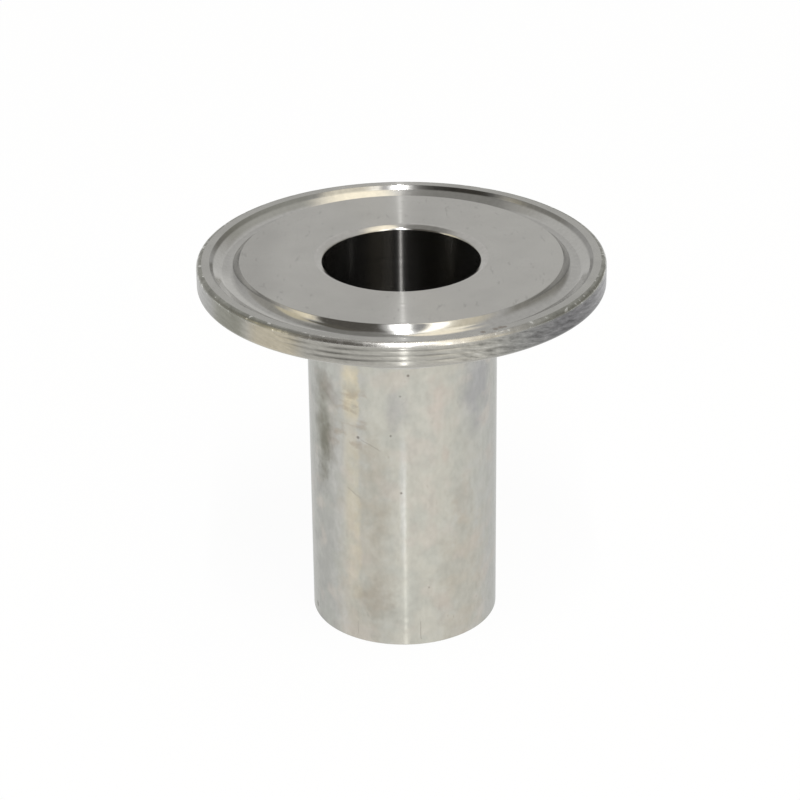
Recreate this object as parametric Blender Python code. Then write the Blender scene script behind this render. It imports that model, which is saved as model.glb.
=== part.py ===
"""Sanitary threaded adapter, turned from one stainless bar.

A clamp flange with a gasket groove sits on top of a plain round barrel. A bore
runs through from the flange's face, and the barrel's lower end holds a female
pipe thread. Units are metres, +Z is up, and the origin is the centre of the
barrel's lower end, on which the adapter stands.
"""
import math

import bmesh
import bpy

# Clamp flange: its back slopes down to the barrel for the clamp's jaws
overall_length = 0.0486
flange_diameter = 0.0505
flange_edge_thickness = 0.0031
flange_back_angle = math.radians(20)
flange_top_round = 0.00065
flange_bottom_round = 0.00045
neck_fillet_radius = 0.0025

# Gasket groove in the flange's face, set in from the flange's edge: a steep inner wall,
# and on the outer side a small step with a slope below it
groove_centre_inset = 0.003475
groove_width = 0.00365
groove_depth = 0.0013
groove_wall_angle = math.radians(18)
groove_step_width = 0.0004
groove_step_depth = 0.00045
groove_slope_width = 0.0012
groove_floor_round = 0.0015
groove_step_round = 0.0003
groove_edge_round = 0.0001

# Female pipe thread in the lower end, 1/2 inch parallel: the bore of its crests,
# the lead-in at its mouth and the relief it runs out into
thread_major_diameter = 0.020955
thread_height = 0.00098
thread_length = 0.0150
thread_lead_in_clearance = 0.00025
thread_lead_in_angle = math.radians(45)
thread_relief_clearance = 0.0001
thread_relief_width = 0.0030
thread_relief_round = 0.0006

# Barrel and bore, set by the walls outside the thread and outside the bore
barrel_wall_at_thread = 0.00137
barrel_wall_at_bore = 0.0021
barrel_end_round = 0.0002

# Shallow bevel round the bore's mouth, and the rounds above and below it
bore_mouth_width = 0.00078
bore_mouth_depth = 0.00041
bore_mouth_round = 0.0009
bore_lip_round = 0.0003

# Facets, and the share of a wall that the rounds at its two ends may take up
facets_round_the_axis = 80
facet_angle_on_rounds = math.radians(22.5)
most_rounded_share = 0.98

STEEL_COLOUR = (0.62, 0.61, 0.58, 1.0)
STEEL_ROUGHNESS = 0.28
SHARP_EDGE_ANGLE = math.radians(30)


def clear_scene():
    """Remove what the start-up file holds."""
    for scene_object in list(bpy.data.objects):
        bpy.data.objects.remove(scene_object, do_unlink=True)


def flange_and_barrel_corners(barrel_radius, bore_radius):
    """Corners of the outside, from the bore's mouth out and down to the lower end."""
    face = overall_length
    flange_radius = flange_diameter / 2
    groove_radius = flange_radius - groove_centre_inset
    groove_inside = groove_radius - groove_width / 2
    groove_outside = groove_radius + groove_width / 2
    step_radius = groove_outside - groove_step_width
    groove_floor = face - groove_depth
    rim_bottom = face - flange_edge_thickness
    back_drop = (flange_radius - barrel_radius) * math.tan(flange_back_angle)
    return [
        (bore_radius, face - bore_mouth_depth, bore_lip_round),
        (bore_radius + bore_mouth_width, face, bore_mouth_round),
        (groove_inside, face, groove_edge_round),
        (groove_inside + groove_depth * math.tan(groove_wall_angle), groove_floor, groove_floor_round),
        (step_radius - groove_slope_width, groove_floor, groove_floor_round),
        (step_radius, face - groove_step_depth, groove_step_round),
        (groove_outside, face, groove_edge_round),
        (flange_radius, face, flange_top_round),
        (flange_radius, rim_bottom, flange_bottom_round),
        (barrel_radius, rim_bottom - back_drop, neck_fillet_radius),
        (barrel_radius, 0.0, barrel_end_round),
    ]


def threaded_bore_corners(bore_radius):
    """Corners of the inside, from the lower end up to the plain bore."""
    major_radius = thread_major_diameter / 2
    crest_radius = major_radius - thread_height
    lead_in_radius = major_radius + thread_lead_in_clearance
    relief_radius = major_radius + thread_relief_clearance
    slope = math.tan(thread_lead_in_angle)
    relief_start = thread_length + (relief_radius - crest_radius) / slope
    relief_end = thread_length + thread_relief_width
    bore_start = relief_end + (relief_radius - bore_radius) / slope
    return [
        (lead_in_radius, 0.0, 0.0),
        (crest_radius, (lead_in_radius - crest_radius) / slope, 0.0),
        (crest_radius, thread_length, 0.0),
        (relief_radius, relief_start, thread_relief_round),
        (relief_radius, relief_end, thread_relief_round),
        (bore_radius, bore_start, 0.0),
    ]


def turn_at(before, corner, after):
    """Angle by which the outline turns at a corner, positive to the left."""
    heading_in = math.atan2(corner[1] - before[1], corner[0] - before[0])
    heading_out = math.atan2(after[1] - corner[1], after[0] - corner[0])
    return (heading_out - heading_in + math.pi) % math.tau - math.pi


def rounds_that_fit(corners, turns):
    """Radius of each corner's round, less where a wall is too short for its two rounds."""
    tangents = [corner[2] * math.tan(abs(turn) / 2) for corner, turn in zip(corners, turns)]
    scales = [1.0] * len(corners)
    for index, corner in enumerate(corners):
        wall = math.dist(corner[:2], corners[index - 1][:2]) * most_rounded_share
        taken = tangents[index] + tangents[index - 1]
        if taken > wall:
            scales[index] = min(scales[index], wall / taken)
            scales[index - 1] = min(scales[index - 1], wall / taken)
    return [corner[2] * scale for corner, scale in zip(corners, scales)]


def arc_at(before, corner, turn, radius):
    """Points of the arc that rounds a corner, in the outline's direction."""
    heading = math.atan2(corner[1] - before[1], corner[0] - before[0])
    tangent = radius * math.tan(abs(turn) / 2)
    side = math.copysign(1.0, turn)
    start = (corner[0] - tangent * math.cos(heading), corner[1] - tangent * math.sin(heading))
    centre = (
        start[0] - side * radius * math.sin(heading),
        start[1] + side * radius * math.cos(heading),
    )
    steps = max(2, math.ceil(abs(turn) / facet_angle_on_rounds))
    points = []
    for step in range(steps + 1):
        angle = heading + turn * step / steps
        points.append((
            centre[0] + side * radius * math.sin(angle),
            centre[1] - side * radius * math.cos(angle),
        ))
    return points


def rounded_outline(corners):
    """Closed outline of (radius, height) points from corners with their rounds."""
    places = [corner[:2] for corner in corners]
    following = places[1:] + places[:1]
    preceding = places[-1:] + places[:-1]
    turns = [turn_at(*three) for three in zip(preceding, places, following)]
    outline = []
    for before, place, turn, radius in zip(preceding, places, turns, rounds_that_fit(corners, turns)):
        if radius == 0:
            outline.append(place)
        else:
            outline.extend(arc_at(before, place, turn, radius))
    return outline


def revolve(name, outline):
    """Spin a closed outline about Z into one solid body."""
    shape = bmesh.new()
    ring = [shape.verts.new((radial, 0.0, height)) for radial, height in outline]
    edges = [shape.edges.new((ring[index - 1], vertex)) for index, vertex in enumerate(ring)]
    bmesh.ops.spin(
        shape,
        geom=ring + edges,
        cent=(0, 0, 0),
        axis=(0, 0, 1),
        angle=math.tau,
        steps=facets_round_the_axis,
        use_merge=True,
        use_duplicate=False,
    )
    bmesh.ops.recalc_face_normals(shape, faces=shape.faces)
    mesh = bpy.data.meshes.new(name)
    shape.to_mesh(mesh)
    shape.free()
    mesh.shade_smooth()
    mesh.set_sharp_from_angle(angle=SHARP_EDGE_ANGLE)
    body = bpy.data.objects.new(name, mesh)
    bpy.context.scene.collection.objects.link(body)
    return body


def turned_steel():
    """Material of the turned stainless steel."""
    material = bpy.data.materials.new("turned_steel")
    material.use_nodes = True
    shader = material.node_tree.nodes["Principled BSDF"]
    shader.inputs["Base Color"].default_value = STEEL_COLOUR
    shader.inputs["Metallic"].default_value = 1.0
    shader.inputs["Roughness"].default_value = STEEL_ROUGHNESS
    return material


def build_adapter():
    """The whole adapter: one turned piece."""
    barrel_radius = thread_major_diameter / 2 + barrel_wall_at_thread
    bore_radius = barrel_radius - barrel_wall_at_bore
    outside = flange_and_barrel_corners(barrel_radius, bore_radius)
    inside = threaded_bore_corners(bore_radius)
    body = revolve("adapter_body", rounded_outline(outside + inside))
    body.data.materials.append(turned_steel())
    return body


clear_scene()
build_adapter()
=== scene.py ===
"""Looks of the sanitary threaded adapter: its fine turned form, steel finishes, camera and light.

Units are metres, +Z is up, and the adapter stands on the origin.
"""
import math

import bmesh
import bpy
from mathutils import Matrix, Vector, noise


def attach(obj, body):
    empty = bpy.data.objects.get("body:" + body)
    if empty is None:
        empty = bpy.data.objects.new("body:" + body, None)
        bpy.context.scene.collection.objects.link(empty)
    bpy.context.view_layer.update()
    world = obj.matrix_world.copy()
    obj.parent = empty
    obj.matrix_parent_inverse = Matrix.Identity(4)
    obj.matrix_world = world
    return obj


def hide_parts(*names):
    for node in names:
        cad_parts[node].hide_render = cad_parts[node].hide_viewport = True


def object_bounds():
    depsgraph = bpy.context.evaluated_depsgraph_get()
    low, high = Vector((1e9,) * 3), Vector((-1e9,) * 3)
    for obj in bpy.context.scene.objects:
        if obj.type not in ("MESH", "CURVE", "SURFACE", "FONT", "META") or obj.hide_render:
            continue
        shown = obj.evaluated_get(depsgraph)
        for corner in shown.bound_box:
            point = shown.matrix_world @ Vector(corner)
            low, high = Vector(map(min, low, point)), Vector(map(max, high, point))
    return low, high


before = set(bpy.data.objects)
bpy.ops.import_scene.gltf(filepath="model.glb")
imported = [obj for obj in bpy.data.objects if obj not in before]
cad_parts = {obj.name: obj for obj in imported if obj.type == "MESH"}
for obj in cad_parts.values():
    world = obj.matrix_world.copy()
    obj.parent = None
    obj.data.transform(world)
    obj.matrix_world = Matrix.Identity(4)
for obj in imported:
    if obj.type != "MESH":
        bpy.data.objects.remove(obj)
cad_low, cad_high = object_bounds()

MM = 0.001
NODE = "adapter_body"

# Form: the outline follows the solid, with finer rounds
face_height = cad_high.z
flange_radius = cad_high.x
flange_edge_thickness = 3.1 * MM
flange_back_angle = math.radians(20)
flange_top_round = 0.65 * MM
flange_bottom_round = 0.45 * MM
neck_fillet_radius = 2.5 * MM
groove_centre_inset = 3.475 * MM
groove_width = 3.65 * MM
groove_depth = 1.3 * MM
groove_wall_angle = math.radians(18)
groove_step_width = 0.4 * MM
groove_step_depth = 0.45 * MM
groove_slope_width = 1.2 * MM
groove_floor_round = 1.5 * MM
groove_step_round = 0.3 * MM
groove_edge_round = 0.1 * MM
thread_major_radius = 20.955 / 2 * MM
thread_height = 0.98 * MM
thread_length = 15.0 * MM
thread_lead_in_clearance = 0.25 * MM
thread_relief_clearance = 0.1 * MM
thread_relief_width = 3.0 * MM
thread_relief_round = 0.6 * MM
barrel_radius = thread_major_radius + 1.37 * MM
bore_radius = barrel_radius - 2.1 * MM
barrel_end_round = 0.2 * MM
bore_mouth_width = 0.78 * MM
bore_mouth_depth = 0.41 * MM
bore_mouth_round = 0.9 * MM
bore_lip_round = 0.3 * MM

# Whitworth form of the pipe thread
thread_pitch = 1.814 * MM
thread_flank_angle = math.radians(27.5)
thread_root_round = 0.249 * MM

# Turning ridges left on the flange's edge: fully cut at the front, worn flatter elsewhere
ridge_pitch = 0.65 * MM
ridge_depth = 0.045 * MM
ridge_narrowness = 2.0
ridge_steps = 10
ridge_full_from = math.radians(-26)
ridge_full_to = math.radians(9)
ridge_fade = math.radians(12)
ridge_worn_share = 0.2

# Tears in the ridges: the most that one changes a ridge's depth by, and its length in radii
torn_share = 0.9
torn_length = 0.12

# Fine turning marks: the slope of their two flanks along the profile, the flanks' roughness, the
# share that each flank takes of a finely turned surface, and the unevenness of that share
MARKS_SLOPE = 0.95
MARKS_ROUGHNESS = 0.22
MARKS_SHARE = 0.0085
MARKS_UNEVENNESS = 2.0
MARKS_PITCH_MM = 0.6

# Anisotropic rotation at which reflections spread across the turning marks
ACROSS_THE_MARKS = 0.25

# Facets
facets_round_the_axis = 256
facet_angle_on_rounds = math.radians(9)
fewest_facets_on_a_round = 3
sharp_edge_angle = math.radians(32)
merge_distance = 0.0005 * MM

# Colours of the clean steel, zone by zone
FACE_STEEL = (0.57, 0.563, 0.54)
MOUTH_STEEL = (0.60, 0.59, 0.57)
GROOVE_STEEL = (0.53, 0.525, 0.51)
LAND_STEEL = (0.52, 0.515, 0.495)
EDGE_STEEL = (0.33, 0.33, 0.30)
# Painted highlight: the edge's lighter colour in front
EDGE_PAINTED_HIGHLIGHT_IN_FRONT = (0.52, 0.51, 0.49)
RIM_STEEL = (0.30, 0.30, 0.285)
BACK_STEEL = (0.50, 0.49, 0.46)
BARREL_STEEL = (0.485, 0.48, 0.452)
BARREL_AT_GRAZING_ANGLES = (0.75, 0.755, 0.75)
# Painted shade: the bore's dark colour
BORE_STEEL_PAINTED_DARK = (0.24, 0.235, 0.225)

# Colours of the dirt, tints and wear on it, and of painted shade, glints and reflection
GROOVE_OLIVE_SHADE = (0.33, 0.33, 0.27)
SPOT_BROWN = (0.20, 0.15, 0.11)
PAINTED_GLINT_WHITE = (0.80, 0.80, 0.78)
RIM_CUT_SHADE = (0.14, 0.135, 0.125)
RIM_GLINT = (0.5, 0.5, 0.5)
STRAW_PAINTED_REFLECTION = (0.69, 0.605, 0.425)
SMUDGE_BROWN = (0.36, 0.31, 0.24)
BARREL_TINT = (0.46, 0.468, 0.425)
BARREL_BLUSH = (0.57, 0.515, 0.46)
SPECK_BROWN = (0.12, 0.10, 0.08)

# Turns of thread added below the lower end and above the run-out, where they lie flat
spare_thread_turns = 2

# Floor: its reach, its paper's white, and the share of its own white over the lit paper
# that keeps the shadow
floor_radius = 4.0
paper_white = 0.9
floor_own_white = 0.95

# Zones of the surface, in the order of the piece's materials
FACE, MOUTH, GROOVE, LAND, EDGE, RIM, BACK, BARREL, BORE = range(9)

# Camera, fitted to the outlines of the flange, groove, bore and barrel
camera_distance = 339.7 * MM
camera_elevation = math.radians(23.316)
camera_yaw = math.radians(0.059)
camera_pitch = math.radians(2.98)
camera_roll = math.radians(-0.614)
camera_lens = 124.02
camera_sensor = 36.0
camera_clip = (0.01, 20.0)


def turn_at(before, corner, after):
    """Angle by which the outline turns at a corner, positive to the left."""
    heading_in = math.atan2(corner[1] - before[1], corner[0] - before[0])
    heading_out = math.atan2(after[1] - corner[1], after[0] - corner[0])
    return (heading_out - heading_in + math.pi) % math.tau - math.pi


def arc_at(before, corner, turn, radius):
    """Points of the arc that rounds a corner, in the outline's direction."""
    heading = math.atan2(corner[1] - before[1], corner[0] - before[0])
    tangent = radius * math.tan(abs(turn) / 2)
    side = math.copysign(1.0, turn)
    start = (corner[0] - tangent * math.cos(heading), corner[1] - tangent * math.sin(heading))
    centre = (
        start[0] - side * radius * math.sin(heading),
        start[1] + side * radius * math.cos(heading),
    )
    steps = max(fewest_facets_on_a_round, math.ceil(abs(turn) / facet_angle_on_rounds))
    points = []
    for step in range(steps + 1):
        angle = heading + turn * step / steps
        points.append((
            centre[0] + side * radius * math.sin(angle),
            centre[1] - side * radius * math.cos(angle),
        ))
    return points


def outline_from(corners):
    """Stations (radius, height, zone that follows, ridge cut) along open corners with rounds."""
    stations = []
    for index, (radial, height, radius, round_zone, zone) in enumerate(corners):
        if radius == 0:
            stations.append((radial, height, zone, 0.0))
            continue
        before = corners[index - 1][:2]
        after = corners[index + 1][:2]
        turn = turn_at(before, (radial, height), after)
        arc = arc_at(before, (radial, height), turn, radius)
        stations.extend((x, z, round_zone, 0.0) for x, z in arc[:-1])
        stations.append((*arc[-1], zone, 0.0))
    return stations


def outside_corners():
    """Corners of the outside, from the bore's mouth out and down to the lead-in of the thread."""
    groove_radius = flange_radius - groove_centre_inset
    groove_inside = groove_radius - groove_width / 2
    groove_outside = groove_radius + groove_width / 2
    groove_foot = groove_inside + groove_depth * math.tan(groove_wall_angle)
    step_radius = groove_outside - groove_step_width
    groove_floor = face_height - groove_depth
    rim_bottom = face_height - flange_edge_thickness
    neck = rim_bottom - (flange_radius - barrel_radius) * math.tan(flange_back_angle)
    lead_in_radius = thread_major_radius + thread_lead_in_clearance
    return [
        (bore_radius, bore_start(), 0, BORE, BORE),
        (bore_radius, face_height - bore_mouth_depth, bore_lip_round, MOUTH, MOUTH),
        (bore_radius + bore_mouth_width, face_height, bore_mouth_round, MOUTH, FACE),
        (groove_inside, face_height, groove_edge_round, GROOVE, GROOVE),
        (groove_foot, groove_floor, groove_floor_round, GROOVE, GROOVE),
        (step_radius - groove_slope_width, groove_floor, groove_floor_round, GROOVE, GROOVE),
        (step_radius, face_height - groove_step_depth, groove_step_round, GROOVE, GROOVE),
        (groove_outside, face_height, groove_edge_round, GROOVE, LAND),
        (flange_radius, face_height, flange_top_round, EDGE, RIM),
        (flange_radius, rim_bottom, flange_bottom_round, BACK, BACK),
        (barrel_radius, neck, neck_fillet_radius, BACK, BARREL),
        (barrel_radius, 0.0, barrel_end_round, BARREL, BARREL),
        (lead_in_radius, 0.0, 0, BORE, BORE),
    ]


def relief_radius():
    """Radius of the relief that the thread runs out into."""
    return thread_major_radius + thread_relief_clearance


def crest_radius():
    """Radius of the thread's crests."""
    return thread_major_radius - thread_height


def relief_start():
    """Height at which the thread's 45 degree run-out meets the relief."""
    return thread_length + relief_radius() - crest_radius()


def bore_start():
    """Height at which the plain bore begins, above the relief's 45 degree shoulder."""
    return thread_length + thread_relief_width + relief_radius() - bore_radius


def relief_corners():
    """Corners of the relief between the thread and the plain bore."""
    top = thread_length + thread_relief_width
    return [
        (crest_radius(), thread_length, 0, BORE, BORE),
        (relief_radius(), relief_start(), thread_relief_round, BORE, BORE),
        (relief_radius(), top, thread_relief_round, BORE, BORE),
        (bore_radius, bore_start(), 0, BORE, BORE),
    ]


def with_turning_ridges(stations):
    """Stations with the straight stretch of the rim cut into shallow turning ridges."""
    ridged = []
    for index, (radial, height, zone, _) in enumerate(stations):
        ridged.append((radial, height, zone, 0.0))
        if zone != RIM:
            continue
        drop = height - stations[index + 1][1]
        steps = round(drop / ridge_pitch * ridge_steps)
        for step in range(1, steps):
            along = drop * step / steps
            wave = 0.5 - 0.5 * math.cos(math.tau * along / ridge_pitch)
            ridged.append((radial, height - along, RIM, ridge_depth * wave ** ridge_narrowness))
    return ridged


def ridge_share(azimuth):
    """How much of the ridges' depth is left at an azimuth from the front."""
    outside = max(ridge_full_from - azimuth, azimuth - ridge_full_to, 0.0)
    kept = max(0.0, 1.0 - outside / ridge_fade)
    return ridge_worn_share + (1.0 - ridge_worn_share) * kept


def ridge_tear(x, y, height):
    """How much deeper or shallower a ridge is torn at a place, given by its direction and height."""
    place = Vector((x / torn_length, y / torn_length, height / ridge_pitch))
    return 1.0 + torn_share * noise.noise(place)


def thread_radius(offset):
    """Radius of the thread's surface at a height offset from the middle of its root."""
    offset = abs(offset)
    arc_reach = thread_root_round * math.cos(thread_flank_angle)
    arc_centre = thread_major_radius - thread_root_round
    if offset < arc_reach:
        return arc_centre + math.sqrt(thread_root_round ** 2 - offset ** 2)
    arc_end = arc_centre + thread_root_round * math.sin(thread_flank_angle)
    return max(crest_radius(), arc_end - (offset - arc_reach) / math.tan(thread_flank_angle))


def thread_row_offsets():
    """Height offsets of the rows that make one turn of the thread, from crest to crest."""
    arc_reach = thread_root_round * math.cos(thread_flank_angle)
    arc_end = thread_radius(arc_reach)
    flank_end = arc_reach + (arc_end - crest_radius()) * math.tan(thread_flank_angle)
    half = [arc_reach / 2, arc_reach, (arc_reach + flank_end) / 2, flank_end]
    return [-offset for offset in reversed(half)] + [0.0] + half + [thread_pitch / 2]


def clear_radius(height):
    """Radius cleared by the lead-in below and the run-out above the thread, at a height."""
    lead_in = thread_major_radius + thread_lead_in_clearance - height
    run_out = crest_radius() + height - thread_length
    return max(crest_radius(), lead_in, run_out)


def add_ring(shape, radial, height, cut=0.0):
    """A ring of vertices about Z, less the ridge cut that is left at each azimuth."""
    ring = []
    for step in range(facets_round_the_axis):
        angle = math.tau * step / facets_round_the_axis
        x, y = math.cos(angle), math.sin(angle)
        reach = radial
        if cut:
            reach -= cut * ridge_share(math.atan2(x, -y)) * ridge_tear(x, y, height)
        ring.append(shape.verts.new((reach * x, reach * y, height)))
    return ring


def join_rings(shape, upper, lower, zone):
    """Faces between two neighbouring rings."""
    for step in range(facets_round_the_axis):
        following = (step + 1) % facets_round_the_axis
        face = shape.faces.new((upper[step], upper[following], lower[following], lower[step]))
        face.material_index = zone


def add_revolved(shape, stations):
    """Rings through the stations, joined in their order."""
    previous = None
    for radial, height, zone, ridge_cut in stations:
        ring = add_ring(shape, radial, height, ridge_cut)
        if previous:
            join_rings(shape, previous, ring, previous_zone)
        previous, previous_zone = ring, zone


def add_thread(shape, top):
    """Right-hand helical thread from the lower end up to its run-out, as rows along the helix."""
    offsets = thread_row_offsets()
    rows_in_a_turn = len(offsets)
    turns = math.ceil(top / thread_pitch)
    rows = []
    for turn in range(-spare_thread_turns, turns + spare_thread_turns + 1):
        for offset in offsets:
            row = []
            for step in range(facets_round_the_axis):
                angle = math.tau * step / facets_round_the_axis
                rise = thread_pitch * step / facets_round_the_axis
                height = min(max(turn * thread_pitch + offset + rise, 0.0), top)
                radial = max(thread_radius(offset), clear_radius(height))
                row.append(shape.verts.new((
                    radial * math.cos(angle), radial * math.sin(angle), height)))
            rows.append(row)
    for index in range(len(rows) - rows_in_a_turn - 1):
        lower, upper = rows[index], rows[index + 1]
        next_lower, next_upper = rows[index + rows_in_a_turn], rows[index + rows_in_a_turn + 1]
        for step in range(facets_round_the_axis):
            if step + 1 < facets_round_the_axis:
                corners = (lower[step], upper[step], upper[step + 1], lower[step + 1])
            else:
                corners = (lower[step], upper[step], next_upper[0], next_lower[0])
            face = shape.faces.new(corners)
            face.material_index = BORE


def build_adapter(materials):
    """The adapter's one piece, with ridges, groove and thread in its mesh."""
    shape = bmesh.new()
    add_revolved(shape, with_turning_ridges(outline_from(outside_corners())))
    relief = outline_from(relief_corners())[1:]
    add_revolved(shape, relief)
    add_thread(shape, relief[0][1])
    bmesh.ops.remove_doubles(shape, verts=shape.verts, dist=merge_distance)
    bmesh.ops.recalc_face_normals(shape, faces=shape.faces)
    mesh = bpy.data.meshes.new("turned_adapter")
    shape.to_mesh(mesh)
    shape.free()
    for material in materials:
        mesh.materials.append(material)
    mesh.shade_smooth()
    mesh.set_sharp_from_angle(angle=sharp_edge_angle)
    piece = bpy.data.objects.new("turned_adapter", mesh)
    bpy.context.scene.collection.objects.link(piece)
    weighted = piece.modifiers.new("flat faces stay flat", "WEIGHTED_NORMAL")
    weighted.keep_sharp = True
    weighted.weight = 100
    return piece


class Nodes:
    """Short ways to add and join the nodes of one material or world."""

    def __init__(self, tree):
        self.tree = tree

    def add(self, kind, **settings):
        """A node with its settings."""
        node = self.tree.nodes.new(kind)
        for name, value in settings.items():
            setattr(node, name, value)
        return node

    def feed(self, socket, value):
        """Link a socket to an output, or give it a value; a colour is given without its alpha."""
        if isinstance(value, bpy.types.NodeSocket):
            self.tree.links.new(value, socket)
        elif socket.type == "RGBA":
            socket.default_value = (*value, 1.0)
        else:
            socket.default_value = value

    def math(self, operation, *values):
        """A number worked out from others."""
        node = self.add("ShaderNodeMath", operation=operation)
        for socket, value in zip(node.inputs, values):
            self.feed(socket, value)
        return node.outputs[0]

    def vector(self, operation, *values):
        """A vector worked out from others, or its length or dot product."""
        node = self.add("ShaderNodeVectorMath", operation=operation)
        for socket, value in zip(node.inputs, values):
            self.feed(socket, value)
        return node.outputs["Value" if operation in ("LENGTH", "DOT_PRODUCT") else "Vector"]

    def scaled(self, vector, factor):
        """A vector, or a colour as one, times a number."""
        node = self.add("ShaderNodeVectorMath", operation="SCALE")
        self.feed(node.inputs[0], vector)
        self.feed(node.inputs["Scale"], factor)
        return node.outputs["Vector"]

    def joined(self, x, y, z):
        """A vector from its three parts."""
        node = self.add("ShaderNodeCombineXYZ")
        for socket, value in zip(node.inputs, (x, y, z)):
            self.feed(socket, value)
        return node.outputs[0]

    def ramp(self, value, low, high, out_low=0.0, out_high=1.0):
        """A smooth step from out_low at low to out_high at high."""
        node = self.add("ShaderNodeMapRange", interpolation_type="SMOOTHSTEP")
        for socket, number in zip(node.inputs, (value, low, high, out_low, out_high)):
            self.feed(socket, number)
        return node.outputs[0]

    def window(self, value, low, high, soft, most=1.0):
        """The most between low and high, falling to 0 over a soft edge outside."""
        rise = self.ramp(value, low - soft, low, 0.0, most)
        fall = self.ramp(value, high, high + soft, 1.0, 0.0)
        return self.math("MULTIPLY", rise, fall)

    def mix(self, share, first, second):
        """A colour between two others."""
        node = self.add("ShaderNodeMix", data_type="RGBA")
        used = [socket for socket in node.inputs if socket.enabled]
        for socket, value in zip(used, (share, first, second)):
            self.feed(socket, value)
        return next(socket for socket in node.outputs if socket.enabled)

    def cloud(self, place, scale, detail=2.0, roughness=0.5):
        """A cloudy field around 0.5 over a place."""
        node = self.add("ShaderNodeTexNoise")
        for name, value in (("Vector", place), ("Scale", scale), ("Detail", detail),
                            ("Roughness", roughness)):
            self.feed(node.inputs[name], value)
        return node.outputs["Fac"]

    def wave(self, along, pitch):
        """An uneven wave around 0.5 along a number."""
        node = self.add("ShaderNodeTexNoise", noise_dimensions="1D")
        for name, value in (("W", along), ("Scale", 1.0 / pitch), ("Detail", 1.0)):
            self.feed(node.inputs[name], value)
        return node.outputs["Fac"]

    def vary(self, *parts):
        """A shade around 1, from fields around 0.5 and how much each one changes it."""
        shade = 1.0
        for field, amount in parts:
            change = self.math("MULTIPLY", self.math("SUBTRACT", field, 0.5), amount)
            shade = self.math("ADD", change, shade)
        return shade

    def to_line(self, place, start, end):
        """Distance from a place to the straight stretch between two points."""
        run = Vector(end) - Vector(start)
        away = self.vector("SUBTRACT", place, start)
        share = self.math("DIVIDE", self.vector("DOT_PRODUCT", away, tuple(run)), run.length_squared)
        share = self.math("MINIMUM", self.math("MAXIMUM", share, 0.0), 1.0)
        nearest = self.scaled(tuple(run), share)
        return self.vector("LENGTH", self.vector("SUBTRACT", away, nearest))


def steel(name, roughness, anisotropy):
    """A turned steel material, with its nodes and its shader."""
    material = bpy.data.materials.new(name)
    material.use_nodes = True
    shader = material.node_tree.nodes["Principled BSDF"]
    shader.inputs["Metallic"].default_value = 1.0
    shader.inputs["Roughness"].default_value = roughness
    shader.inputs["Anisotropic"].default_value = anisotropy
    shader.inputs["Anisotropic Rotation"].default_value = ACROSS_THE_MARKS
    return material, Nodes(material.node_tree), shader


class TurnedPlace:
    """Where a point lies on the turned adapter, in millimetres and in degrees from the front."""

    def __init__(self, nodes):
        coordinates = nodes.add("ShaderNodeTexCoord").outputs["Object"]
        self.place = nodes.scaled(coordinates, 1.0 / MM)
        split = nodes.add("ShaderNodeSeparateXYZ")
        nodes.feed(split.inputs[0], self.place)
        x, y, self.height = split.outputs
        backward = nodes.math("MULTIPLY", y, -1.0)
        turn = nodes.math("ARCTAN2", x, backward)
        self.azimuth = nodes.math("DEGREES", turn)
        self.radius = nodes.vector("LENGTH", nodes.joined(x, y, 0.0))
        self.around = nodes.vector("NORMALIZE", nodes.joined(backward, x, 0.0))


def unrolled(nodes, at, radius):
    """The surface of a round wall laid flat, in millimetres: round the axis, and up."""
    along = nodes.math("MULTIPLY", at.azimuth, math.radians(radius / MM))
    return nodes.joined(along, at.height, 0.0)


def add_marks(material, nodes, at, shader, colour, share=MARKS_SHARE, unevenness=MARKS_UNEVENNESS):
    """Give a smooth steel its colour, and a share of fine turning marks with two steep flanks."""
    nodes.feed(shader.inputs["Base Color"], colour)
    normal = nodes.add("ShaderNodeNewGeometry").outputs["Normal"]
    profile = nodes.vector("CROSS_PRODUCT", at.around, normal)
    uneven = nodes.wave(nodes.math("SUBTRACT", at.radius, at.height), MARKS_PITCH_MM)
    share = nodes.math("MULTIPLY", nodes.vary((uneven, unevenness)), share)
    surface = shader.outputs[0]
    for slope in (MARKS_SLOPE, -MARKS_SLOPE):
        flank = nodes.add("ShaderNodeBsdfPrincipled")
        for name, value in (("Metallic", 1.0), ("Roughness", MARKS_ROUGHNESS), ("Anisotropic", 1.0),
                            ("Anisotropic Rotation", ACROSS_THE_MARKS)):
            flank.inputs[name].default_value = value
        tilted = nodes.vector("ADD", normal, nodes.scaled(profile, slope))
        nodes.feed(flank.inputs["Base Color"], colour)
        nodes.feed(flank.inputs["Normal"], nodes.vector("NORMALIZE", tilted))
        both = nodes.add("ShaderNodeMixShader")
        for socket, value in zip(both.inputs, (share, surface, flank.outputs[0])):
            nodes.feed(socket, value)
        surface = both.outputs[0]
    nodes.feed(material.node_tree.nodes["Material Output"].inputs["Surface"], surface)


def mottled(nodes, at, colour):
    """A steel colour with a wide, soft mottling."""
    cloud = nodes.cloud(at.place, 0.3, detail=3.0)
    return nodes.scaled(colour, nodes.vary((cloud, 0.3)))


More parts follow.
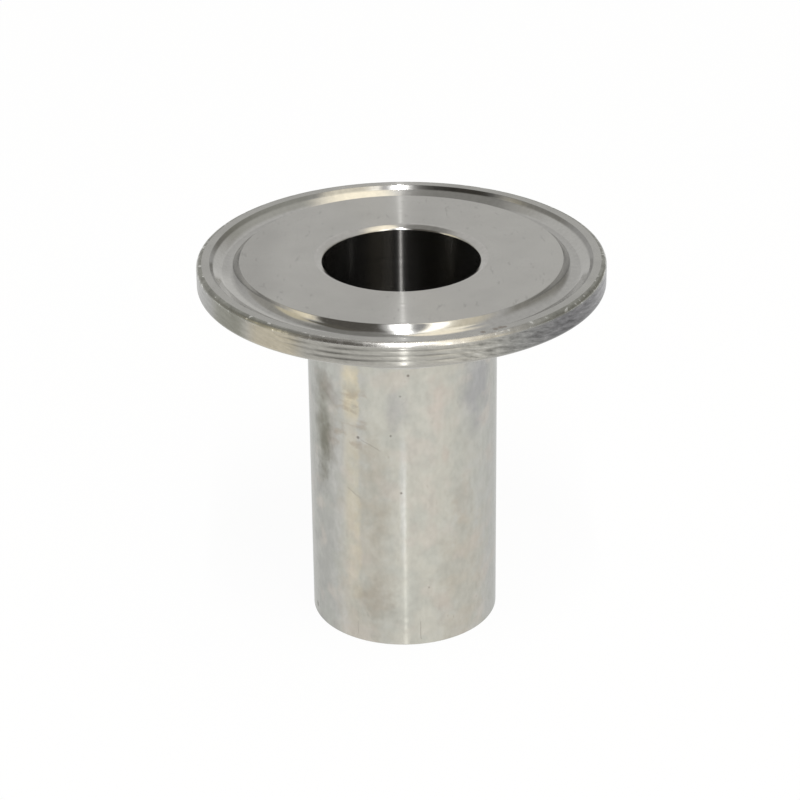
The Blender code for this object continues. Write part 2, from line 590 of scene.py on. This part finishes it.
def faced_steel():
    """The clamp face: fine concentric facing marks, a little grain, handling marks and painted shade at
    the outer left.
    """
    material, nodes, shader = steel("faced_flange_steel", 0.16, 1.0)
    at = TurnedPlace(nodes)
    rings = nodes.wave(at.radius, 0.17)
    grain = nodes.cloud(at.place, 5.0)
    cloud = nodes.cloud(at.place, 0.25, detail=3.0)
    scuffs = nodes.cloud(nodes.vector("MULTIPLY", at.place, (1.6, 0.5, 1.0)), 1.0, detail=3.0)
    scuffed = nodes.math("MULTIPLY", nodes.ramp(scuffs, 0.62, 0.74), -0.12)
    shade = nodes.vary((rings, 0.03), (grain, 0.12), (cloud, 0.16))
    shade = nodes.math("ADD", shade, scuffed)
    # Painted shade: the outer part of the face is a little darker at the left
    painted_shade_at_left = nodes.math("MULTIPLY", nodes.window(at.azimuth, -112.0, -70.0, 25.0),
                      nodes.ramp(at.radius, 14.0, 18.5, 0.0, -0.12))
    shade = nodes.math("ADD", shade, painted_shade_at_left)
    add_marks(material, nodes, at, shader, nodes.scaled(FACE_STEEL, shade))
    return material


def mouth_steel():
    """The bore's mouth: a smooth cut."""
    material, nodes, shader = steel("rounded_mouth_steel", 0.14, 0.6)
    at = TurnedPlace(nodes)
    grain = nodes.cloud(at.place, 1.5, detail=4.0, roughness=0.6)
    colour = nodes.scaled(MOUTH_STEEL, nodes.vary((grain, 0.3)))
    add_marks(material, nodes, at, shader, colour)
    return material


# Bands of painted light and shade round the groove, in millimetres and degrees: a lighter slope, a sheen
# at the front left, and painted shade at the foot, on the step and on the far step
GROOVE_BANDS = [
    # name, radius from, to, soft edge, azimuth from, to, soft edge, change of shade
    ("painted_light_on_the_slope", 22.2, 23.0, 0.2, -180, 180, 1, 0.14),
    ("painted_shade_at_the_foot_left", 20.3, 20.6, 0.35, -180, -82, 24, -0.28),
    ("painted_shade_at_the_foot_right", 20.3, 20.6, 0.35, 82, 180, 24, -0.28),
    ("sheen_front_left", 21.3, 23.1, 0.4, -78, -14, 12, 0.28),
    ("painted_shade_on_the_step", 23.32, 23.55, 0.2, -180, 180, 1, -0.3),
    ("painted_shadow_on_the_far_step", 23.3, 23.5, 0.15, 150, 168, 6, -0.3),
]


def groove_steel():
    """The groove: a smooth cut, with painted light on its slope and painted shade at its foot and on its
    step.
    """
    material, nodes, shader = steel("polished_groove_steel", 0.13, 0.6)
    at = TurnedPlace(nodes)
    grain = nodes.cloud(at.place, 1.5, detail=4.0, roughness=0.6)
    shade = nodes.vary((grain, 0.3))
    for _, inner, outer, soft_across, left, right, soft_round, change in GROOVE_BANDS:
        across = nodes.window(at.radius, inner, outer, soft_across, change)
        around = nodes.window(at.azimuth, left, right, soft_round)
        shade = nodes.math("ADD", shade, nodes.math("MULTIPLY", across, around))
    # Olive tint with painted shade on the outer side, at the far left
    olive_and_painted_shade = nodes.math("MULTIPLY", nodes.window(at.radius, 22.7, 23.6, 0.4, 0.4),
                       nodes.window(at.azimuth, -146.0, -114.0, 9.0))
    colour = nodes.mix(olive_and_painted_shade, nodes.scaled(GROOVE_STEEL, shade), GROOVE_OLIVE_SHADE)
    add_marks(material, nodes, at, shader, colour)
    return material


# Brown spots on the land outside the groove: azimuth in degrees, radius and reach in millimetres
LAND_SPOTS = [(22.8, 24.2, 0.30), (26.8, 24.1, 0.32), (28.6, 24.0, 0.34), (29.8, 24.1, 0.22)]


def land_steel():
    """The land outside the groove: turned steel with a few brown spots."""
    material, nodes, shader = steel("outer_land_steel", 0.18, 1.0)
    at = TurnedPlace(nodes)
    colour = mottled(nodes, at, LAND_STEEL)
    for azimuth, radius, reach in LAND_SPOTS:
        around = math.radians(azimuth)
        spot = (radius * math.sin(around), -radius * math.cos(around), face_height / MM)
        away = nodes.vector("LENGTH", nodes.vector("SUBTRACT", at.place, spot))
        share = nodes.ramp(away, reach * 0.4, reach * 1.6, 0.6, 0.0)
        colour = nodes.mix(share, colour, SPOT_BROWN)
    add_marks(material, nodes, at, shader, colour)
    return material


# Tints round the flange's edge, with painted light in front and a painted warm reflection at the front
# left, in degrees
RIM_TINTS_AND_PAINTED_LIGHT = [
    # name, azimuth from, to, soft edge, colour, share
    ("painted_light_front", -46, 12, 26, (0.405, 0.395, 0.36), 1.0),
    ("grimy_right", 52, 120, 30, (0.17, 0.168, 0.172), 1.0),
    ("olive_left", -60, -51, 6, (0.20, 0.20, 0.16), 0.7),
    ("painted_beige_reflection_front_left", -42, -32, 6, (0.49, 0.445, 0.345), 0.8),
]


def rim_colour(nodes, at):
    """The flange's edge round the axis: painted light in front, grimy on the right, a painted beige
    reflection at the front left.
    """
    colour = RIM_STEEL
    for _, left, right, soft, tint, share in RIM_TINTS_AND_PAINTED_LIGHT:
        colour = nodes.mix(nodes.window(at.azimuth, left, right, soft, share), colour, tint)
    return colour


def edge_steel():
    """The flange's worn top edge: grey and dull round the sides, with a painted highlight in front and
    painted glints.
    """
    material, nodes, shader = steel("worn_edge_steel", 0.25, 0.5)
    at = TurnedPlace(nodes)
    patch = nodes.cloud(at.place, 0.8, detail=4.0, roughness=0.6)
    # Painted highlight: the edge is lighter in front
    front = nodes.window(at.azimuth, -18.0, 24.0, 24.0)
    colour = nodes.mix(front, EDGE_STEEL, EDGE_PAINTED_HIGHLIGHT_IN_FRONT)
    colour = nodes.scaled(colour, nodes.vary((patch, 1.2)))
    # Painted glints: white flecks along the edge
    painted_glints = nodes.ramp(nodes.cloud(at.place, 1.6, detail=2.0), 0.62, 0.68, 0.0, 0.8)
    colour = nodes.mix(painted_glints, colour, PAINTED_GLINT_WHITE)
    # Near the lower end of the round the rim's own tints take over
    below = nodes.ramp(at.height, face_height / MM - 0.6, face_height / MM - 0.4, 0.9, 0.0)
    nodes.feed(shader.inputs["Base Color"], nodes.mix(below, colour, rim_colour(nodes, at)))
    nodes.feed(shader.inputs["Roughness"], nodes.ramp(patch, 0.35, 0.65, 0.34, 0.2))
    return material


def rim_steel():
    """The flange's edge: turning ridges with painted shade in their cuts and painted glints, torn and dull
    on the right.
    """
    material, nodes, shader = steel("turned_rim_steel", 0.3, 0.7)
    at = TurnedPlace(nodes)
    # Scuffs run along the rim, a little slanted, and they are strongest on the right
    flat = unrolled(nodes, at, flange_radius)
    slanted = nodes.vector("ADD", flat, nodes.scaled((0.0, 0.1, 0.0), at.azimuth))
    torn = nodes.cloud(nodes.vector("MULTIPLY", slanted, (0.5, 2.4, 1.0)), 1.0, detail=5.0, roughness=0.65)
    grain = nodes.cloud(at.place, 2.2, detail=4.0, roughness=0.6)
    right = nodes.window(at.azimuth, 30.0, 120.0, 22.0)
    amount = nodes.ramp(right, 0.0, 0.7, 0.7, 2.8)
    contrast = nodes.math("MULTIPLY", nodes.math("SUBTRACT", torn, 0.5), amount)
    shade = nodes.math("ADD", nodes.vary((grain, 0.3)), contrast)
    # Painted shade darkens the ridges' cuts
    cut_depth = nodes.math("SUBTRACT", flange_radius / MM, at.radius)
    cut_shade = nodes.math("MULTIPLY", nodes.ramp(cut_depth, 0.012, ridge_depth / MM), 0.5)
    colour = nodes.mix(cut_shade, nodes.scaled(rim_colour(nodes, at), shade), RIM_CUT_SHADE)
    # Painted glints on the torn scuffs at the right
    glint = nodes.math("MULTIPLY", nodes.ramp(torn, 0.64, 0.70), right)
    colour = nodes.mix(glint, colour, RIM_GLINT)
    add_marks(material, nodes, at, shader, colour, 0.04)
    return material


# Marks on the barrel, among the stains some painted light and shade and a painted highlight line: azimuth
# in degrees from the front and height in millimetres
BARREL_STAINS_AND_PAINTED_LIGHT = [
    # name, azimuth, height, half width in degrees, half height, colour, share
    # Painted warm light on the front and painted shade on the left side
    ("painted_warm_light_front", 9, 20, 43, 60, (0.545, 0.53, 0.465), 0.90),
    ("painted_shade_left_side", -57, 18, 13, 60, (0.405, 0.405, 0.38), 0.85),
    ("olive_left", -26, 9, 17, 18, (0.485, 0.46, 0.395), 0.80),
    ("olive_low_right", 40, 8, 18, 10, (0.48, 0.445, 0.375), 0.75),
    ("light_top_left", -16, 33, 10, 7, (0.575, 0.565, 0.50), 0.75),
    ("light_top_middle", 12, 31, 15, 9, (0.60, 0.58, 0.52), 0.50),
    ("warm_under_flange", -6, 37.5, 5, 1.2, (0.60, 0.56, 0.47), 0.60),
    ("grey_top_middle", -3, 34.0, 9, 2.0, (0.44, 0.43, 0.41), 0.60),
    ("pink_top", 20, 33.5, 6, 4.0, (0.60, 0.53, 0.47), 0.60),
    ("pink_middle", 26, 26.5, 3, 1.2, (0.54, 0.46, 0.40), 0.40),
    ("pink_low", 24, 5, 6, 2.5, (0.55, 0.49, 0.44), 0.35),
    ("grey_top_right", 51, 34.5, 13, 6.0, (0.375, 0.375, 0.375), 0.85),
    ("brown_right", 38, 19.5, 7, 2.6, (0.42, 0.365, 0.30), 0.45),
    ("brown_low_left", -20, 6.0, 11, 3.2, (0.36, 0.325, 0.265), 0.60),
    ("brown_middle", -18, 22.5, 10, 7.0, (0.43, 0.395, 0.325), 0.55),
    ("grey_patch", -5, 33.0, 5, 3.5, (0.45, 0.44, 0.42), 0.50),
    # A painted highlight line down the front
    ("painted_highlight_line", -0.5, 21, 2.2, 9, (0.64, 0.64, 0.62), 0.50),
    ("pinkish_top_left", -52, 31.0, 8, 6.0, (0.38, 0.335, 0.30), 0.60),
    ("olive_top_left", -57, 29.0, 9.5, 8.0, (0.24, 0.235, 0.19), 0.68),
    ("dark_top_left", -54.5, 27.5, 5.0, 5.0, (0.17, 0.165, 0.13), 0.60),
]
BARREL_SPECKS = [
    # azimuth, height, radius in millimetres
    (3.2, 38.0, 0.17),
    (-1.6, 35.2, 0.10),
    (-28.0, 29.0, 0.20),
    (-1.5, 21.9, 0.15),
    (-7.5, 29.8, 0.13),
    (14.9, 8.2, 0.10),
    (-71.9, 1.5, 0.40),
]
BARREL_SCRATCHES = [
    # azimuth and height of the two ends, half width in millimetres
    (9.7, 0.8, 9.6, 3.4, 0.05),
    (-30.3, 0.8, -30.5, 2.6, 0.03),
    (-64.5, 24.0, -56.5, 22.2, 0.05),
    (-25.5, 28.8, -14.0, 27.6, 0.04),
    (-36.0, 21.6, -27.0, 20.6, 0.04),
]


def stains_and_painted_light(nodes, at, colour, ragged):
    """A colour with the barrel's stains and painted light and shade laid over it, their edges frayed by a
    cloud.
    """
    for _, azimuth, height, half_width, half_height, patch_colour, share in BARREL_STAINS_AND_PAINTED_LIGHT:
        across = nodes.math("DIVIDE", nodes.math("SUBTRACT", at.azimuth, azimuth), half_width)
        upward = nodes.math("DIVIDE", nodes.math("SUBTRACT", at.height, height), half_height)
        reach = nodes.vector("LENGTH", nodes.joined(across, upward, 0.0))
        reach = nodes.math("ADD", reach, ragged)
        inside = nodes.ramp(reach, 0.3, 1.4, share, 0.0)
        colour = nodes.mix(inside, colour, patch_colour)
    return colour


def straw_reflection_and_smudges(nodes, at, colour, cloud):
    """A colour with a painted straw-coloured upright reflection band, and the brown smudges across it."""
    # Painted reflection: an upright straw-coloured band
    # The band's edges wander with the cloud
    wander = nodes.math("MULTIPLY", nodes.math("SUBTRACT", cloud, 0.5), 9.0)
    azimuth = nodes.math("ADD", at.azimuth, wander)
    across = nodes.math("MULTIPLY", nodes.ramp(azimuth, -41.0, -34.0),
                        nodes.ramp(azimuth, -29.0, -26.0, 1.0, 0.0))
    top = nodes.window(at.height, 33.5, 37.0, 3.5, 0.65)
    share = nodes.math("ADD", top, nodes.window(at.height, 13.0, 24.0, 12.0, 0.34))
    colour = nodes.mix(nodes.math("MULTIPLY", across, share), colour, STRAW_PAINTED_REFLECTION)
    # Smudges lie across its upper part
    stretched = nodes.vector("MULTIPLY", unrolled(nodes, at, barrel_radius), (0.35, 0.7, 1.0))
    smudges = nodes.ramp(nodes.cloud(stretched, 1.0, detail=3.0, roughness=0.55), 0.46, 0.68)
    where = nodes.math("MULTIPLY", nodes.window(at.azimuth, -44.0, -24.0, 5.0),
                       nodes.window(at.height, 28.0, 34.5, 2.0))
    smudges = nodes.math("MULTIPLY", nodes.math("MULTIPLY", smudges, where), 0.6)
    return nodes.mix(smudges, colour, SMUDGE_BROWN)


def barrel_steel():
    """The barrel: satin steel with clouded tints, stains, specks and scratches, and painted light, shade
    and reflection.
    """
    material, nodes, shader = steel("satin_barrel_steel", 0.16, 1.0)
    shader.inputs["Specular Tint"].default_value = (*BARREL_AT_GRAZING_ANGLES, 1.0)
    at = TurnedPlace(nodes)
    cloud = nodes.cloud(at.place, 0.45, detail=4.0, roughness=0.6)
    fine = nodes.cloud(nodes.vector("MULTIPLY", at.place, (1.0, 1.0, 0.5)), 1.6, detail=3.0)
    tint = nodes.cloud(nodes.vector("ADD", at.place, (40.0, 10.0, 5.0)), 0.35, detail=3.0)
    blush = nodes.cloud(nodes.vector("ADD", at.place, (5.0, 70.0, 30.0)), 0.28, detail=2.0)
    ragged = nodes.math("MULTIPLY", nodes.math("SUBTRACT", cloud, 0.5), 1.6)
    colour = stains_and_painted_light(nodes, at, BARREL_STEEL, ragged)
    colour = straw_reflection_and_smudges(nodes, at, colour, cloud)
    colour = nodes.mix(nodes.ramp(tint, 0.42, 0.66, 0.0, 0.45), colour, BARREL_TINT)
    colour = nodes.mix(nodes.ramp(blush, 0.50, 0.68, 0.0, 0.4), colour, BARREL_BLUSH)
    colour = nodes.scaled(colour, nodes.vary((cloud, 0.26), (fine, 0.22)))
    # Specks and swaying scratches
    flat = unrolled(nodes, at, barrel_radius)
    sway = nodes.math("MULTIPLY", nodes.math("SUBTRACT", cloud, 0.5), 0.4)
    swayed = nodes.vector("ADD", flat, nodes.joined(sway, sway, 0.0))
    across = math.radians(barrel_radius / MM)
    dark = nodes.ramp(fine, 0.68, 0.78, 0.0, 0.22)
    for azimuth, height, reach in BARREL_SPECKS:
        away = nodes.vector("SUBTRACT", flat, (azimuth * across, height, 0.0))
        speck = nodes.ramp(nodes.vector("LENGTH", away), reach * 0.3, reach * 1.5, 0.7, 0.0)
        dark = nodes.math("MAXIMUM", dark, speck)
    for left, foot, right, head, reach in BARREL_SCRATCHES:
        away = nodes.to_line(swayed, (left * across, foot, 0.0), (right * across, head, 0.0))
        dark = nodes.math("MAXIMUM", dark, nodes.ramp(away, reach * 0.4, reach * 2.5, 0.25, 0.0))
    colour = nodes.mix(dark, colour, SPECK_BROWN)
    add_marks(material, nodes, at, shader, colour, 0.010)
    return material


def bored_steel():
    """The bore and the thread: finely bored steel, its colour darkened as painted shade."""
    material, nodes, shader = steel("bored_steel", 0.10, 1.0)
    at = TurnedPlace(nodes)
    colour = mottled(nodes, at, BORE_STEEL_PAINTED_DARK)
    add_marks(material, nodes, at, shader, colour, share=0.038, unevenness=0.7)
    return material


def back_steel():
    """The flange's sloping back, its lower edge in the rim's colours, painted light included."""
    material, nodes, shader = steel("turned_back_steel", 0.2, 1.0)
    at = TurnedPlace(nodes)
    rim_bottom = (face_height - flange_edge_thickness) / MM
    rim_coloured = nodes.ramp(at.height, rim_bottom - 0.25, rim_bottom + 0.3)
    colour = nodes.mix(rim_coloured, mottled(nodes, at, BACK_STEEL), rim_colour(nodes, at))
    add_marks(material, nodes, at, shader, colour)
    return material


def build_materials():
    """The finishes, in the order of the zones."""
    return [
        faced_steel(),
        mouth_steel(),
        groove_steel(),
        land_steel(),
        edge_steel(),
        rim_steel(),
        back_steel(),
        barrel_steel(),
        bored_steel(),
    ]


# Studio: azimuth in degrees from the camera's side, positive to the camera's right
STUDIO_BASE = (0.62, 0.615, 0.60)
STUDIO_CARDS = [
    # name, azimuth from, to, elevation from, to, soft edge across, up, light
    ("ceiling_left", -165, -18, 62, 91, 12.0, 14.0, (0.30, 0.295, 0.28)),
    ("shaded_left", -120, -98, -30, 48, 14.0, 14.0, (0.44, 0.43, 0.40)),
    ("warm_card_left", -75, -66, -30, 18, 10.0, 14.0, (1.30, 1.18, 0.92)),
    ("warm_top_left", -90, -78, 18, 38, 9.0, 16.0, (0.85, 0.77, 0.58)),
    ("dark_gap_left", -56, -17, -30, 58, 5.0, 12.0, (0.12, 0.112, 0.10)),
    ("dark_top_left", -70, -50, 38, 62, 9.0, 9.0, (0.15, 0.14, 0.12)),
    ("white_card_front", -7, 4.5, -30, 46, 3.5, 10.0, (2.6, 2.6, 2.6)),
    ("dim_right", 84, 142, -30, 12, 14.0, 34.0, (0.36, 0.35, 0.32)),
    ("warm_card_right", 32, 48, -30, 46, 24.0, 14.0, (0.92, 0.85, 0.69)),
    ("pale_card_right", 24, 30, -30, 52, 14.0, 12.0, (1.42, 1.34, 1.14)),
    ("grey_gap_right", 10.5, 15, -30, 62, 2.5, 8.0, (0.42, 0.42, 0.42)),
    ("white_card_right", 21, 30, -30, 66, 4.0, 10.0, (2.5, 2.4, 2.2)),
    ("high_card_right", 34, 62, 54, 72, 10.0, 10.0, (1.55, 1.45, 1.22)),
    ("warm_high_right", 55, 160, 74, 82, 12.0, 14.0, (1.60, 1.47, 1.20)),
]
STUDIO_STRIP_DISTANCE = 0.9
STUDIO_STRIPS = [
    # name, azimuth, elevation from, to, width in metres, light
    ("high_strip", 1.2, 46, 80, 0.02, 120.0),
    ("middle_strip", 0.8, 34, 48, 0.04, 8.0),
]


def build_world():
    """A pale room with soft cards, dim where the camera stands; the camera itself sees white."""
    world = bpy.data.worlds.new("studio")
    bpy.context.scene.world = world
    world.use_nodes = True
    nodes = Nodes(world.node_tree)
    for node in list(world.node_tree.nodes):
        world.node_tree.nodes.remove(node)
    direction = nodes.add("ShaderNodeTexCoord").outputs["Generated"]
    split = nodes.add("ShaderNodeSeparateXYZ")
    nodes.feed(split.inputs[0], direction)
    toward_camera = nodes.math("MULTIPLY", split.outputs["Y"], -1.0)
    around = nodes.math("ARCTAN2", split.outputs["X"], toward_camera)
    azimuth = nodes.math("DEGREES", around)
    elevation = nodes.math("DEGREES", nodes.math("ARCSINE", split.outputs["Z"]))
    colour = STUDIO_BASE
    for _, left, right, low, high, soft_across, soft_up, card in STUDIO_CARDS:
        across = nodes.window(azimuth, left, right, soft_across)
        upward = nodes.window(elevation, low, high, soft_up)
        colour = nodes.mix(nodes.math("MULTIPLY", across, upward), colour, card)
    light = nodes.add("ShaderNodeBackground")
    nodes.feed(light.inputs["Color"], colour)
    white = nodes.add("ShaderNodeBackground")
    chooser = nodes.add("ShaderNodeMixShader")
    nodes.feed(white.inputs["Color"], (1.0, 1.0, 1.0))
    path = nodes.add("ShaderNodeLightPath")
    nodes.feed(chooser.inputs[0], path.outputs["Is Camera Ray"])
    nodes.feed(chooser.inputs[1], light.outputs[0])
    nodes.feed(chooser.inputs[2], white.outputs[0])
    output = nodes.add("ShaderNodeOutputWorld")
    nodes.feed(output.inputs["Surface"], chooser.outputs[0])


def build_floor():
    """A pale floor that shows near white and keeps the adapter's shadow."""
    bpy.ops.mesh.primitive_circle_add(vertices=96, radius=floor_radius, fill_type="NGON")
    floor = bpy.context.object
    floor.name = "studio_floor"
    material = bpy.data.materials.new("studio_floor")
    material.use_nodes = True
    nodes = Nodes(material.node_tree)
    for node in list(material.node_tree.nodes):
        material.node_tree.nodes.remove(node)
    paper = nodes.add("ShaderNodeBsdfDiffuse")
    nodes.feed(paper.inputs["Color"], (paper_white, paper_white, paper_white))
    glow = nodes.add("ShaderNodeEmission")
    path = nodes.add("ShaderNodeLightPath")
    seen = nodes.math("MAXIMUM", path.outputs["Is Camera Ray"], path.outputs["Is Glossy Ray"])
    seen = nodes.math("MAXIMUM", seen, path.outputs["Is Transmission Ray"])
    share = nodes.math("MULTIPLY", seen, floor_own_white)
    chooser = nodes.add("ShaderNodeMixShader")
    nodes.feed(chooser.inputs[0], share)
    nodes.feed(chooser.inputs[1], paper.outputs[0])
    nodes.feed(chooser.inputs[2], glow.outputs[0])
    output = nodes.add("ShaderNodeOutputMaterial")
    nodes.feed(output.inputs["Surface"], chooser.outputs[0])
    floor.data.materials.append(material)


def aim(scene_object, place, target):
    """Put an object at a place with its -Z axis towards a target."""
    scene_object.location = place
    scene_object.rotation_euler = (Vector(target) - Vector(place)).to_track_quat("-Z", "Y").to_euler()


def build_strip(name, azimuth, low, high, width, strength):
    """An upright strip lamp between two elevations, at an azimuth from the camera's side."""
    length = 2 * STUDIO_STRIP_DISTANCE * math.tan(math.radians(high - low) / 2)
    lamp = bpy.data.lights.new(name, "AREA")
    lamp.shape = "RECTANGLE"
    lamp.size = width
    lamp.size_y = length
    lamp.energy = strength * math.pi * width * length
    lamp_object = bpy.data.objects.new(name, lamp)
    bpy.context.scene.collection.objects.link(lamp_object)
    around, up = math.radians(azimuth), math.radians((low + high) / 2)
    target = Vector((0.0, 0.0, face_height))
    away = Vector((math.sin(around) * math.cos(up), -math.cos(around) * math.cos(up), math.sin(up)))
    aim(lamp_object, target + away * STUDIO_STRIP_DISTANCE, target)
    lamp_object.visible_camera = False


def build_camera():
    """The photograph's view of the adapter."""
    data = bpy.data.cameras.new("camera")
    data.lens = camera_lens
    data.sensor_width = camera_sensor
    data.clip_start, data.clip_end = camera_clip
    camera = bpy.data.objects.new("camera", data)
    bpy.context.scene.collection.objects.link(camera)
    forward = Vector((0.0, math.cos(camera_elevation), -math.sin(camera_elevation)))
    right = Vector((1.0, 0.0, 0.0))
    down = forward.cross(right)
    axes = (
        Matrix.Rotation(camera_roll, 3, "Z")
        @ Matrix.Rotation(camera_pitch, 3, "X")
        @ Matrix.Rotation(camera_yaw, 3, "Y")
        @ Matrix((right, down, forward))
    )
    turned = Matrix((axes[0], -axes[1], -axes[2])).transposed().to_4x4()
    place = Vector((0.0, 0.0, face_height)) - forward * camera_distance
    camera.matrix_world = Matrix.Translation(place) @ turned
    bpy.context.scene.camera = camera


def set_view():
    """Plain view of the scene's colours."""
    bpy.context.scene.view_settings.view_transform = "Standard"


build_camera()
build_floor()
build_world()
for strip in STUDIO_STRIPS:
    build_strip(*strip)
set_view()
adapter = build_adapter(build_materials())
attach(adapter, "root")
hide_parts(NODE)
